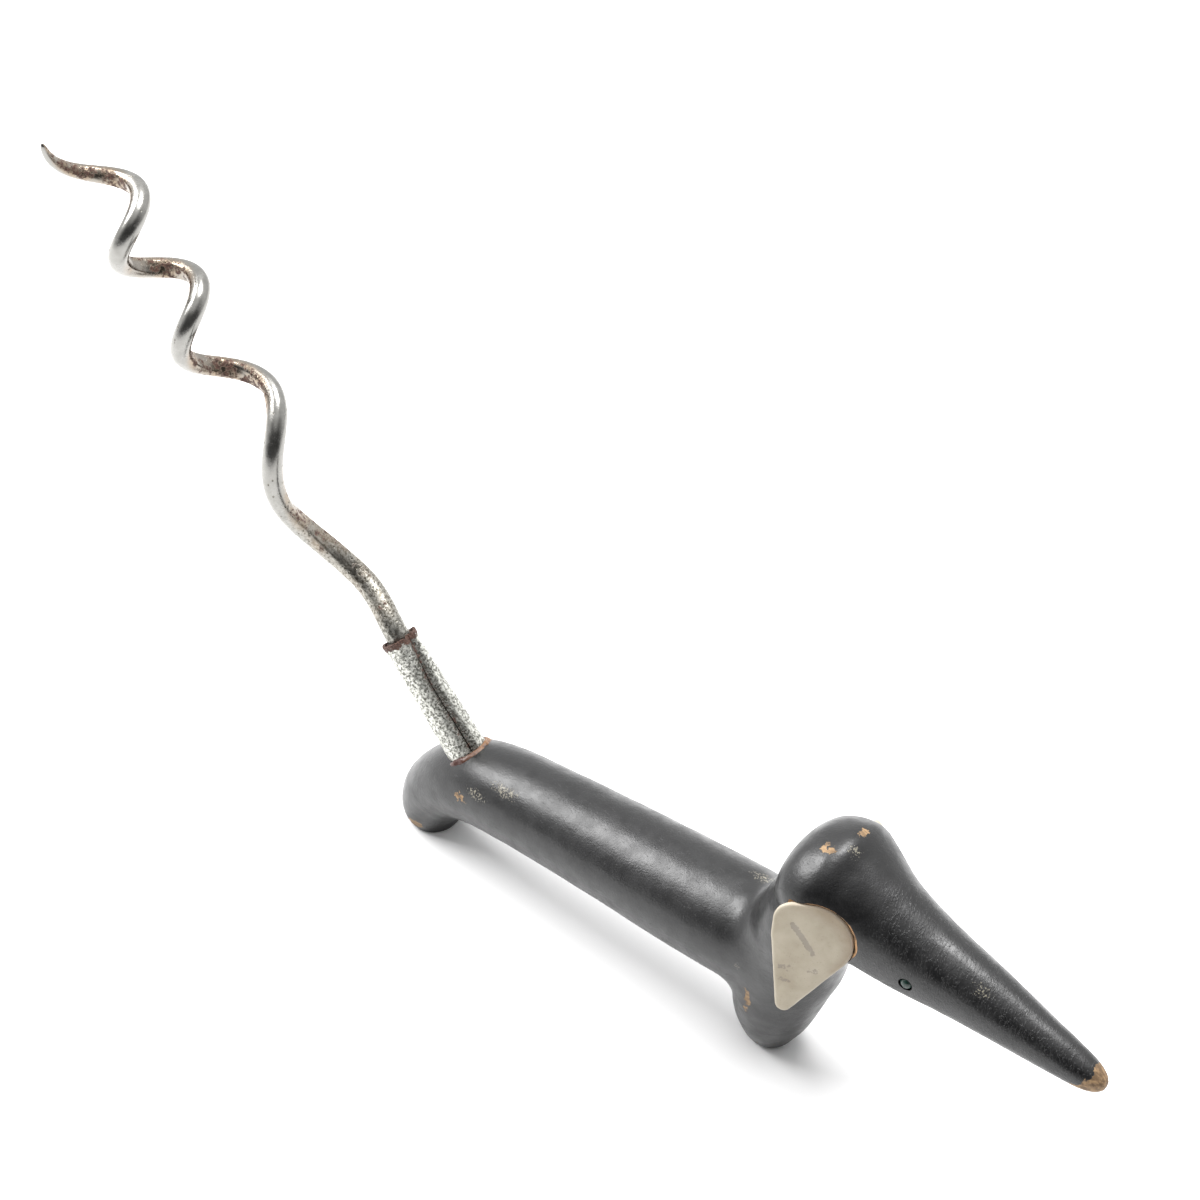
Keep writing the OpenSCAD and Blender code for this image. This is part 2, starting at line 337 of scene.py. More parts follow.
def rust_group():
    """Rust over steel: Cover says how much of the place it takes. Gives its mask, colour and height."""
    tree, given, result = group_tree(
        "rust", "ShaderNodeTree",
        [("Place", VECTOR, None), ("Cover", FLOAT, 0.5), ("Grain", FLOAT, 2.0)],
        [("Mask", FLOAT), ("Colour", COLOUR), ("Height", FLOAT)])
    coarse = clouds(tree, given.outputs["Place"], given.outputs["Grain"], 5, 0.65)
    texture = between(tree, coarse, 0.28, 0.72, smooth=False)
    mask = between(tree, texture - (1 - Field(tree, given.outputs["Cover"])), -0.1, 0.2)
    fine = clouds(tree, given.outputs["Place"], Field(tree, given.outputs["Grain"]) * 3.7, 3, 0.6)
    colour = mixed(tree, between(tree, fine, 0.35, 0.6), (0.03, 0.016, 0.012),
                   (0.12, 0.06, 0.042))
    colour = mixed(tree, between(tree, fine * coarse, 0.33, 0.45), colour, (0.22, 0.13, 0.09))
    give(tree, result.inputs["Mask"], mask)
    give(tree, result.inputs["Colour"], colour)
    give(tree, result.inputs["Height"], mask * fine)
    return tree


WORN_PATCH = worn_patch_group()
SPECKS = specks_group()
HAIRLINES = hairlines_group()
RUST = rust_group()

# ---------- materials ----------


def new_material(name):
    """A material with its Principled shader, its tree and the object's own place in millimetres."""
    material = bpy.data.materials.new(name)
    material.use_nodes = True
    tree = material.node_tree
    shader = tree.nodes["Principled BSDF"]
    coordinates = tree.nodes.new("ShaderNodeTexCoord")
    place = vector_maths(tree, "SCALE", coordinates.outputs["Object"])
    place.node.inputs["Scale"].default_value = PER_M
    return material, tree, shader, place


def set_bump(tree, shader, height, depth):
    """Roughens the surface; a height of 1 stands depth millimetres out of it."""
    bump = add(tree, "ShaderNodeBump", Height=height, Strength=1.0, Distance=depth * MM)
    give(tree, shader.inputs["Normal"], bump.outputs["Normal"])


def attribute(tree, name):
    """A number that the mesh holds at each of its points."""
    return Field(tree, add(tree, "ShaderNodeAttribute", {"attribute_name": name}).outputs["Fac"])


def dog_place(x, y, z):
    return (x + DOG_SHIFT, y, z)


# Where the lacquer has gone down to the wood: centre, reach, cover and grain of each patch.
WORN_PATCHES = [
    (dog_place(70.4, 0.0, 24.8), (4.5, 4.0, 3.2), 2.2, 0.55),      # nose
    (dog_place(34.6, -1.8, 38.0), (1.6, 0.9, 1.6), 0.75, 1.5),     # crown
    (dog_place(36.0, 2.3, 37.6), (0.8, 1.4, 1.6), 0.75, 1.5),
    (dog_place(-15.5, -5.0, 13.2), (1.6, 0.8, 1.0), 0.6, 1.8),     # haunch
    (dog_place(-24.0, -3.9, 1.6), (1.6, 1.6, 1.2), 0.9, 0.9),      # rear foot
    (dog_place(27.6, -5.9, 10.6), (0.9, 0.9, 4.2), 0.85, 0.8),     # front leg
    (dog_place(27.0, -4.2, 1.6), (1.8, 1.2, 1.4), 0.7, 1.1),       # front foot
]
# Pale flecks of paint and dust, told in the same way.
PALE_FLECKS = [
    (dog_place(36.6, -0.3, 37.5), (1.4, 1.2, 1.3), 0.46, 4.2),
    (dog_place(-9.9, -3.4, 16.8), (3.0, 1.1, 1.2), 0.46, 4.2),
    (dog_place(-13.2, -4.6, 14.8), (2.4, 0.8, 1.0), 0.42, 4.2),
    (dog_place(23.3, 2.1, 21.7), (2.2, 1.3, 1.2), 0.42, 4.2),
    (dog_place(55.3, -1.8, 30.8), (1.8, 1.0, 1.0), 0.40, 4.6),
    (dog_place(26.6, -5.8, 16.9), (0.9, 0.8, 1.0), 0.46, 4.2),
]
# Knocks in the lacquer, too shallow to reach the wood.
PITS = [
    (dog_place(-23.5, -0.7, 12.1), (0.8, 0.8, 0.8), 1.4, 1.2),
    (dog_place(-22.2, -3.1, 1.7), (0.8, 0.8, 0.8), 1.4, 1.2),
    (dog_place(17.8, -4.8, 19.5), (1.6, 0.4, 0.7), 1.0, 1.6),
]
MUZZLE_START = 40          # how far forward the hatching begins
MUZZLE_FADE = 6            # and how much further on it is whole
LACQUER = ((0.0015, 0.0015, 0.0018), (0.0045, 0.0045, 0.005))
WOOD = ((0.13, 0.078, 0.038), (0.30, 0.19, 0.095))
PALE = (0.24, 0.22, 0.17)


def patches(tree, place, rows):
    """The mask of every patch in rows."""
    mask = 0.0
    for centre, reach, cover, grain in rows:
        patch = use(tree, WORN_PATCH, Place=place, Centre=centre, Reach=reach, Cover=cover,
                    Grain=grain)
        mask = maths(tree, "MAXIMUM", mask, patch.outputs["Mask"])
    return mask


def lacquered_wood():
    """Black lacquer, chipped to the wood in places, dusty, scratched, and hatched on the muzzle."""
    material, tree, shader, place = new_material("lacquered_wood")
    lacquer = mixed(tree, clouds(tree, place, 0.25, 4), *LACQUER)
    bare = patches(tree, place, WORN_PATCHES)
    fleck = patches(tree, place, PALE_FLECKS)
    pit = patches(tree, place, PITS)
    grain_place = vector_maths(tree, "MULTIPLY", place, (0.5, 2.2, 2.2))
    grain = clouds(tree, grain_place, 1.2, 4)
    wood = mixed(tree, between(tree, grain, 0.35, 0.65), *WOOD)
    dust = Field(tree, use(tree, SPECKS, Place=place, Spacing=2.6, Size=0.17,
                           Share=0.1).outputs["Mask"])
    x = Field(tree, add(tree, "ShaderNodeSeparateXYZ", Vector=place).outputs["X"])
    hatch = use(tree, HAIRLINES, Place=place, Turn=(0, 0, radians(72)), Length=0.8, Width=0.14,
                Share=0.7)
    muzzle_x = MUZZLE_START + DOG_SHIFT
    on_muzzle = between(tree, x, muzzle_x, muzzle_x + MUZZLE_FADE)
    hatch = Field(tree, hatch.outputs["Mask"]) * on_muzzle
    scratch = use(tree, HAIRLINES, Place=place, Turn=(0.2, 0.4, 0.3), Length=5, Width=0.1,
                  Share=0.2)
    scratch = Field(tree, scratch.outputs["Mask"])
    colour = mixed(tree, bare, lacquer, wood)
    colour = mixed(tree, maths(tree, "MAXIMUM", dust * 0.5, fleck * 0.8), colour, PALE)
    give(tree, shader.inputs["Base Color"], colour)
    smear = clouds(tree, place, 0.5, 4)
    roughness = between(tree, smear, 0.3, 0.7, 0.3, 0.44) + bare * 0.3 + scratch * 0.1
    give(tree, shader.inputs["Roughness"], roughness)
    give(tree, shader.inputs["Coat Weight"], 0.12 - bare * 0.1)
    shader.inputs["Coat Roughness"].default_value = 0.2
    ripple = clouds(tree, place, 0.8, 2)
    peel = clouds(tree, place, 4.5, 2)
    height = (ripple * 0.6 + peel * 0.45 + dust * 0.25 + fleck * 0.3 + hatch * 0.6
              - bare * 0.6 + bare * grain * 0.5 - pit * 0.8 - scratch * 0.15)
    set_bump(tree, shader, height, 0.05)
    return material


def bare_wood():
    """The wood inside the ears' seats and the tail's hole."""
    material, tree, shader, place = new_material("bare_wood")
    grain_place = vector_maths(tree, "MULTIPLY", place, (0.4, 1.6, 1.6))
    grain = clouds(tree, grain_place, 1.4, 4)
    colour = mixed(tree, grain, (0.22, 0.10, 0.04), (0.62, 0.38, 0.19))
    stain = clouds(tree, place, 0.7, 3)
    colour = mixed(tree, between(tree, stain, 0.5, 0.68), colour, (0.05, 0.028, 0.016))
    give(tree, shader.inputs["Base Color"], colour)
    shader.inputs["Roughness"].default_value = 0.6
    set_bump(tree, shader, grain, 0.06)
    return material


def worm_steel():
    """Worn wire; inner is 1 on the side that faces the coil's middle, along is millimetres up it."""
    material, tree, shader, place = new_material("worm_steel")
    inner = attribute(tree, "inner")
    along = attribute(tree, "along")
    shank = between(tree, along, 26, 4)
    patchy = clouds(tree, place, 0.35, 3)
    cover = between(tree, inner, 0.35, 0.95, 0, 0.5) * between(tree, patchy, 0.3, 0.6, 0.3, 1.25)
    cover = cover * (1 - shank * 0.45)
    rust = use(tree, RUST, Place=place, Cover=cover, Grain=1.6)
    pits = use(tree, SPECKS, Place=place, Spacing=0.42, Size=0.3, Share=shank * 0.45 + 0.05)
    pit = Field(tree, pits.outputs["Mask"])
    wear = clouds(tree, place, 0.8, 4)
    steel = mixed(tree, wear, (0.20, 0.195, 0.18), (0.36, 0.355, 0.34))
    stained = between(tree, inner, 0.3, 0.8) * between(tree, patchy, 0.35, 0.6, 0.25, 0.8)
    steel = mixed(tree, stained, steel, (0.27, 0.20, 0.135))
    tone = clouds(tree, place, 3.2, 4, 0.65)
    pitted = mixed(tree, between(tree, tone, 0.38, 0.6), (0.10, 0.095, 0.08), (0.44, 0.43, 0.39))
    steel = mixed(tree, shank * 0.8, steel, pitted)
    steel = mixed(tree, pit * 0.75, steel, (0.10, 0.09, 0.07))
    colour = mixed(tree, rust.outputs["Mask"], steel, rust.outputs["Colour"])
    rusty = Field(tree, rust.outputs["Mask"])
    give(tree, shader.inputs["Base Color"], colour)
    give(tree, shader.inputs["Metallic"], 1 - rusty * 0.85)
    give(tree, shader.inputs["Roughness"],
         between(tree, wear, 0.3, 0.7, 0.2, 0.3) + shank * 0.12 + rusty * 0.4)
    fine = clouds(tree, place, 6, 2)
    set_bump(tree, shader, fine * 0.15 - pit * 0.6 + Field(tree, rust.outputs["Height"]) * 0.9, 0.05)
    return material


def ferrule_plating():
    """Pitted plate; rim says how rusty the sheet is near its edges, seam how near the rolled seam."""
    material, tree, shader, place = new_material("ferrule_plating")
    blotch = clouds(tree, place, 0.45, 4)
    seam = attribute(tree, "seam")
    share = between(tree, blotch, 0.35, 0.65, 0.1, 0.7) + seam * 0.4
    fine = use(tree, SPECKS, Place=place, Spacing=0.3, Size=0.3, Share=share)
    deep = use(tree, SPECKS, Place=place, Spacing=0.62, Size=0.42, Share=share * 0.5)
    pit = maths(tree, "MAXIMUM", fine.outputs["Mask"], deep.outputs["Mask"])
    tone = clouds(tree, place, 3.2, 4, 0.65)
    plate = mixed(tree, between(tree, tone, 0.36, 0.62), (0.17, 0.17, 0.15), (0.74, 0.74, 0.69))
    plate = mixed(tree, pit * 0.75, plate, (0.07, 0.07, 0.058))
    plate = mixed(tree, seam * 0.7, plate, (0.045, 0.042, 0.034))
    rim = attribute(tree, "rim")
    rust = use(tree, RUST, Place=place, Cover=rim, Grain=2.2)
    rusty = Field(tree, rust.outputs["Mask"])
    colour = mixed(tree, rusty, plate, rust.outputs["Colour"])
    give(tree, shader.inputs["Base Color"], colour)
    give(tree, shader.inputs["Metallic"], 0.9 - rusty * 0.8)
    give(tree, shader.inputs["Roughness"], between(tree, tone, 0.3, 0.7, 0.4, 0.55) + rusty * 0.2)
    set_bump(tree, shader, tone * 0.5 - pit * 0.8 + Field(tree, rust.outputs["Height"]), 0.05)
    return material


def rust_filler():
    material, tree, shader, place = new_material("rust_filler")
    rust = use(tree, RUST, Place=place, Cover=1.0, Grain=1.8)
    give(tree, shader.inputs["Base Color"], rust.outputs["Colour"])
    shader.inputs["Roughness"].default_value = 0.75
    set_bump(tree, shader, rust.outputs["Height"], 0.1)
    return material


def amber_glue():
    """Old glue, dark on one side of the tail and amber on the other."""
    material, tree, shader, place = new_material("amber_glue")
    lumps = clouds(tree, place, 1.3, 4)
    aside = vector_maths(tree, "SUBTRACT", place, tuple(tail_foot))
    aside = Field(tree, vector_maths(tree, "DOT_PRODUCT", aside, (0.76, 0.65, 0)))
    amber = between(tree, aside, -1.2, 2.2) * between(tree, lumps, 0.3, 0.6, 0.4, 1.0)
    colour = mixed(tree, amber, (0.05, 0.016, 0.012), (0.20, 0.10, 0.045))
    rust = use(tree, RUST, Place=place, Cover=0.3, Grain=1.5)
    colour = mixed(tree, rust.outputs["Mask"], colour, rust.outputs["Colour"])
    give(tree, shader.inputs["Base Color"], colour)
    give(tree, shader.inputs["Roughness"], between(tree, lumps, 0.3, 0.7, 0.55, 0.3))
    set_bump(tree, shader, lumps, 0.12)
    return material


def streak(start, end, count, *row):
    """That many equal patches in a line between two places."""
    start, end = Vector(dog_place(*start)), Vector(dog_place(*end))
    return [(tuple(start.lerp(end, i / (count - 1))), *row) for i in range(count)]


# Stains on the right ear's face: centre, reach, cover and grain.
EAR_STAINS = streak((35.1, -8.6, 31.8), (37.6, -7.8, 28.6), 12, (0.45, 1.5, 0.6), 0.85, 1.0) + [
    (dog_place(35.7, -9.2, 26.1), (2.0, 1.5, 0.9), 0.5, 1.3),
    (dog_place(38.1, -8.2, 26.2), (1.2, 1.5, 0.5), 0.45, 2.0),
    (dog_place(35.3, -9.2, 24.4), (1.2, 1.5, 0.6), 0.45, 1.3),
]
LEATHER = ((0.34, 0.29, 0.21), (0.45, 0.40, 0.31))


def ear_leather():
    """Worn hide; edge is 1 on the cut edge and rim is 1 beside it, at the ear's upper front. The rim's brown is
    painted shade under the head's overhanging edge, partly a real brown stain.
    """
    material, tree, shader, place = new_material("ear_leather")
    colour = mixed(tree, between(tree, clouds(tree, place, 0.22, 4), 0.3, 0.7), *LEATHER)
    pores = Field(tree, use(tree, SPECKS, Place=place, Spacing=0.3, Size=0.14,
                            Share=0.4).outputs["Mask"])
    stain = patches(tree, place, EAR_STAINS)
    colour = mixed(tree, stain * 0.45, colour, (0.15, 0.13, 0.125))
    colour = mixed(tree, pores * 0.18, colour, (0.15, 0.12, 0.09))
    edge = attribute(tree, "edge")
    rim = attribute(tree, "rim")
    # rim: painted shade under the head's overhanging edge, partly a real brown stain
    colour = mixed(tree, rim * 0.45, colour, (0.20, 0.125, 0.07))
    colour = mixed(tree, edge * 0.4, colour, (0.42, 0.375, 0.31))
    give(tree, shader.inputs["Base Color"], colour)
    grain = clouds(tree, place, 3.0, 4)
    give(tree, shader.inputs["Roughness"], between(tree, grain, 0.3, 0.7, 0.5, 0.62))
    set_bump(tree, shader, grain * 0.5 - pores * 0.3 - stain * 0.3, 0.04)
    return material


def eye_glass():
    material, tree, shader, place = new_material("eye_glass")
    swirl = clouds(tree, place, 1.5, 3)
    give(tree, shader.inputs["Base Color"], mixed(tree, swirl, (0.003, 0.014, 0.010),
                                                  (0.008, 0.034, 0.025)))
    scratch = clouds(tree, place, 5, 2)
    give(tree, shader.inputs["Roughness"], between(tree, scratch, 0.3, 0.7, 0.18, 0.32))
    shader.inputs["IOR"].default_value = 1.52
    return material


def pin_steel():
    material, tree, shader, place = new_material("pin_steel")
    draw = clouds(tree, vector_maths(tree, "MULTIPLY", place, (6, 1, 6)), 1.5, 3)
    give(tree, shader.inputs["Base Color"], mixed(tree, draw, (0.4, 0.4, 0.38), (0.58, 0.57, 0.54)))
    shader.inputs["Metallic"].default_value = 1.0
    give(tree, shader.inputs["Roughness"], between(tree, draw, 0.3, 0.7, 0.25, 0.4))
    set_bump(tree, shader, draw, 0.01)
    return material


PAPER_SHADE_FADE = (220, 600)    # painted shade: the paper is coloured darker between these distances from the middle, standing in for light that falls off
PAPER_LIT_AND_SHADED = ((0.90, 0.90, 0.90), (0.52, 0.52, 0.52))


def paper_floor():
    material, tree, shader, place = new_material("paper_floor")
    away = Field(tree, vector_maths(tree, "LENGTH", place))
    # The floor goes from lit to shaded colour with distance: painted shade, not a change in the paper.
    give(tree, shader.inputs["Base Color"], mixed(tree, between(tree, away, *PAPER_SHADE_FADE), *PAPER_LIT_AND_SHADED))
    shader.inputs["Roughness"].default_value = 0.7
    return material


# ---------- mesh helpers ----------

def new_piece(name, points, faces, materials, place=None, sharp=35):
    """A shaded object from points in millimetres, put where the matrix place says."""
    mesh = bpy.data.meshes.new(name)
    mesh.from_pydata([tuple(p) for p in points], [], faces)
    for material in materials:
        mesh.materials.append(material)
    if place is not None:
        mesh.transform(place)
        if place.determinant() < 0:
            mesh.flip_normals()
    mesh.transform(Matrix.Scale(MM, 4))
    mesh.shade_smooth()
    mesh.set_sharp_from_angle(angle=radians(sharp))
    piece = bpy.data.objects.new(name, mesh)
    bpy.context.scene.collection.objects.link(piece)
    return piece


def store(piece, name, values):
    """Keeps a number for each point of the piece, for its material to read."""
    marks = piece.data.attributes.new(name, "FLOAT", "POINT")
    marks.data.foreach_set("value", values)


def settle(piece, body, slot, *nodes):
    """Fixes the piece to a body of the frame, in place of those nodes; slot is not used."""
    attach(piece, body)
    if nodes:
        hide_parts(*nodes)


def applied(piece):
    """Turns the piece's modifiers into plain mesh."""
    graph = bpy.context.evaluated_depsgraph_get()
    mesh = bpy.data.meshes.new_from_object(piece.evaluated_get(graph))
    piece.modifiers.clear()
    old = piece.data
    piece.data = mesh
    bpy.data.meshes.remove(old)
    mesh.name = piece.name
    return piece


def skin_faces(rings, sides, capped=True, wrapped=False, offset=0):
    """Faces over rings of the same number of points, counted anticlockwise seen from the last ring."""
    faces = []
    for i in range(rings if wrapped else rings - 1):
        a, b = i * sides, (i + 1) % rings * sides
        for j in range(sides):
            k = (j + 1) % sides
            faces.append([offset + a + j, offset + a + k, offset + b + k, offset + b + j])
    if capped:
        faces.append([offset + j for j in reversed(range(sides))])
        faces.append([offset + (rings - 1) * sides + j for j in range(sides)])
    return faces


def smooth_step(t):
    t = np.clip(t, 0, 1)
    return t * t * (3 - 2 * t)


def lumps(points, scale, seed):
    """Noise from about -1 to 1 at each point, with features of scale millimetres."""
    shift = Vector((seed * 17.3, seed * 5.1, seed * 29.7))
    return np.array([noise.noise(Vector(p) / scale + shift) for p in points])


def relaxed(points, edges, weight, rounds):
    """Moves each point towards the middle of its neighbours, as far as its weight says."""
    points = points.copy()
    first, second = edges[:, 0], edges[:, 1]
    ends = np.concatenate((first, second))
    starts = np.concatenate((second, first))
    count = np.bincount(ends, minlength=len(points))
    for _ in range(rounds):
        for axis in range(3):
            column = points[:, axis]
            middle = np.bincount(ends, column[starts], minlength=len(points)) / count
            points[:, axis] = column + weight * 0.6 * (middle - column)
    return points


# ---------- body ----------

# The carving is three runs of elliptical sections. Each section is
# [x, z, angle of the run above the floor, half width, half depth].
BACK_RUN = [
    [-23.8, -1.0, 104, 2.9, 2.5],
    [-24.0, 0.2, 102, 3.3, 2.9],
    [-24.2, 1.4, 97, 3.8, 3.5],
    [-24.1, 3.2, 80, 4.2, 4.0],
    [-23.0, 5.8, 58, 4.5, 4.3],
    [-20.6, 8.6, 36, 4.8, 4.6],
    [-17.2, 10.7, 20, 5.15, 5.0],
    [-13.0, 12.0, 10, 5.4, 5.3],
    [-5, 13.1, 7, 5.7, 5.5],
    [5, 14.1, 6, 6.1, 5.8],
    [15, 14.9, 6, 6.5, 6.2],
    [24, 15.7, 8, 6.6, 6.35],
    [28.5, 16.3, 8, 6.35, 6.1],
    [31.5, 16.7, 8, 5.0, 4.8]]
CHEST_RUN = [
    [26.4, -1.0, 80, 2.0, 2.1],
    [26.6, 0.1, 80, 2.5, 2.6],
    [26.8, 1.8, 82, 3.4, 3.4],
    [27.2, 5.0, 82, 4.6, 4.6],
    [28.0, 10, 80, 5.7, 5.6],
    [29.2, 15, 78, 6.2, 6.2],
    [30.6, 20, 72, 6.3, 6.0],
    [32.7, 25, 62, 6.4, 5.9],
    [35.0, 29, 50, 6.3, 6.1]]
HEAD_RUN = [
    [29.3, 32.5, -12, 2.2, 1.6],
    [29.8, 32.6, -12, 4.4, 3.3],
    [31.4, 32.5, -12, 6.6, 5.1],
    [34.5, 32.2, -12, 7.6, 6.3],
    [37.5, 31.0, -10, 7.3, 6.1],
    [41.5, 29.5, -9, 5.7, 5.8],
    [47.0, 28.4, -8, 4.7, 4.9],
    [53.5, 27.8, -8, 3.8, 3.9],
    [61.0, 26.8, -8, 2.8, 2.9],
    [67.1, 26.0, -8, 2.0, 2.0],
    [69.4, 25.7, -8, 1.3, 1.3],
    [70.3, 25.6, -8, 0.5, 0.5]]
RING_SIDES = 72
SPAN_STEPS = 8
VOXEL = 0.3
FILLET = 3.4               # how far from a joint between two runs the carving is blended
FILLET_ROUNDS = 170
SOLE_ROUND = 0.5           # the soles' edges are rounded by about this much
KNIFE_DEPTH = 0.04         # the unevenness that the knife left
# The ear's seat is a pocket, bevelled where the knife came in. Each section is a height out of
# the head, how far it lies outside the ear's outline, and its shift along SEAT_LEAN.
SEAT_SECTIONS = [(-1.0, 0.08, 0.0), (-0.3, 0.1, 0.0), (0.0, 0.3, 0.16), (6.0, 1.9, 1.0)]
SEAT_LEAN = np.array((0.3, 1.0))
EYE_PIN_HOLE_R = 0.27
EYE_PIN_HOLE_DEPTH = 2.9
# The ear's outline is the hull of three circles, each (x, y, radius), as this many points.
EAR_CIRCLES = [(0.65, 2.10, 4.5), (-1.4, 3.90, 2.4), (-1.75, -7.10, 0.95)]
EAR_OUTLINE_POINTS = 180


def refined(run):
    """The sections with more between them, on a Catmull-Rom curve."""
    run = np.array(run, float)
    last = len(run) - 1
    sections = []
    for i in range(last):
        a, b, c, d = run[max(0, i - 1)], run[i], run[i + 1], run[min(last, i + 2)]
        for t in np.arange(SPAN_STEPS) / SPAN_STEPS:
            sections.append(b + 0.5 * t * (c - a + t * (
                2 * a - 5 * b + 4 * c - d + t * (3 * (b - c) + d - a))))
    return sections + [run[last]]


def run_skin(run):
    """Points and faces of the closed skin over one run."""
    turn = np.arange(RING_SIDES) * 2 * pi / RING_SIDES
    points = []
    sections = refined(run)
    for x, z, angle, half_width, half_depth in sections:
        lean = radians(angle)
        points.append(np.stack((x - sin(lean) * half_depth * np.sin(turn),
                                -half_width * np.cos(turn),
                                z + cos(lean) * half_depth * np.sin(turn)), axis=1))
    return np.concatenate(points), skin_faces(len(sections), RING_SIDES)


def carved_block():
    """The three runs as one skin of even small faces, blended where they meet."""
    runs = [run_skin(run) for run in (BACK_RUN, CHEST_RUN, HEAD_RUN)]
    points, faces, trees = [], [], []
    for run_points, run_faces in runs:
        offset = sum(len(p) for p in points)
        points.append(run_points)
        faces += [[offset + k for k in face] for face in run_faces]
        trees.append(BVHTree.FromPolygons([Vector(p) for p in run_points], run_faces))
    mesh = bpy.data.meshes.new("block")
    mesh.from_pydata([tuple(p) for p in np.concatenate(points)], [], faces)
    block = bpy.data.objects.new("block", mesh)
    bpy.context.scene.collection.objects.link(block)
    remesh = block.modifiers.new("even_faces", "REMESH")
    remesh.mode = "VOXEL"
    remesh.voxel_size = VOXEL
    applied(block)
    mesh = block.data
    points = np.array([v.co for v in mesh.vertices])
    edges = np.array([e.vertices for e in mesh.edges])
    faces = [list(p.vertices) for p in mesh.polygons]
    bpy.data.objects.remove(block)
    nearest = np.array([[tree.find_nearest(Vector(p))[3] for tree in trees] for p in points])
    meeting = 1 - smooth_step(np.sort(nearest, axis=1)[:, 1] / FILLET)
    on_run = np.empty_like(points)
    for i, p in enumerate(points):
        on_run[i] = trees[int(nearest[i].argmin())].find_nearest(Vector(p))[0]
    points = points + (on_run - points) * (1 - smooth_step(meeting * 4))[:, None]
    points = relaxed(points, edges, np.ones(len(points)), 2)
    return relaxed(points, edges, meeting, FILLET_ROUNDS), edges, faces


def point_normals(points, faces):
    """The unit normal at each point, as the mean of the faces round it."""
    corners = points[np.array([f[:3] for f in faces])]
    face_normals = np.cross(corners[:, 1] - corners[:, 0], corners[:, 2] - corners[:, 0])
    normals = np.zeros_like(points)
    for k in range(4):
        index = np.array([f[k % len(f)] for f in faces])
        for axis in range(3):
            normals[:, axis] += np.bincount(index, face_normals[:, axis], minlength=len(points))
    return normals / np.linalg.norm(normals, axis=1)[:, None]


def flat_soles(points):
    """Rounds the soles' edges and lays every point that is lower on the floor."""
    z = points[:, 2]
    rounded = np.where(z < SOLE_ROUND, (z + SOLE_ROUND) ** 2 / (4 * SOLE_ROUND), z)
    points[:, 2] = np.where(z < -SOLE_ROUND, 0, rounded)


def ear_outline(grow, wobble=0.0, seed=3):
    """Anticlockwise points at equal steps round the ear, moved out by grow and a noisy wobble."""
    cloud = [(x + (r + grow) * cos(a), y + (r + grow) * sin(a))
             for x, y, r in EAR_CIRCLES for a in np.linspace(0, 2 * pi, 144, endpoint=False)]
    hull = np.array([cloud[i] for i in convex_hull_2d(cloud)])
    area = np.sum(hull[:, 0] * np.roll(hull[:, 1], -1) - hull[:, 1] * np.roll(hull[:, 0], -1))
    if area < 0:
        hull = hull[::-1]
    closed = np.vstack((hull, hull[:1]))
    steps = np.concatenate(([0], np.cumsum(np.linalg.norm(np.diff(closed, axis=0), axis=1))))
    at = np.linspace(0, steps[-1], EAR_OUTLINE_POINTS, endpoint=False)
    outline = np.stack([np.interp(at, steps, closed[:, k]) for k in (0, 1)], axis=1)
    if wobble:
        out = outward(outline)
        bumps = lumps([(x, y, 0) for x, y in outline], 0.9, seed)
        outline = outline + out * (wobble * bumps)[:, None]
    return outline


def outward(outline):
    """The unit vector that points away from the outline at each of its points."""
    along = np.roll(outline, -1, axis=0) - np.roll(outline, 1, axis=0)
    along /= np.linalg.norm(along, axis=1)[:, None]
    return np.stack((along[:, 1], -along[:, 0]), axis=1)


def cutter(name, rings, material, place):
    """A closed solid through the rings, whose material is left on the faces that it cuts."""
    sides = len(rings[0])
    return new_piece(name, np.concatenate(rings), skin_faces(len(rings), sides), [material], place)


def round_cutter(name, profile, material, place, sides=48):
    """A turned cutter through (radius, height) points."""
    turn = np.arange(sides) * 2 * pi / sides
    rings = [np.stack((r * np.cos(turn), r * np.sin(turn), np.full(sides, h)), axis=1)
             for r, h in profile]
    return cutter(name, rings, material, place)


def cut_away(piece, tool):
    """Cuts the tool's shape out of the piece and deletes the tool."""
    boolean = piece.modifiers.new("cut", "BOOLEAN")
    boolean.operation = "DIFFERENCE"
    boolean.solver = "MANIFOLD"
    boolean.material_mode = "TRANSFER"
    boolean.object = tool
    applied(piece)
    bpy.data.objects.remove(tool)


def eye_place(side):
    """The middle of an eye's bead; Z runs along its pin, out of the head."""
    low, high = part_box("eye_" + side)
    middle = (low + high) / 2 * PER_M
    pin_low, pin_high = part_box("eye_pin_" + side)
    pin_middle = (pin_low + pin_high) / 2 * PER_M
    out = (middle - pin_middle).normalized()
    place = out.to_track_quat("Z", "Y").to_matrix().to_4x4()
    place.translation = middle
    return place


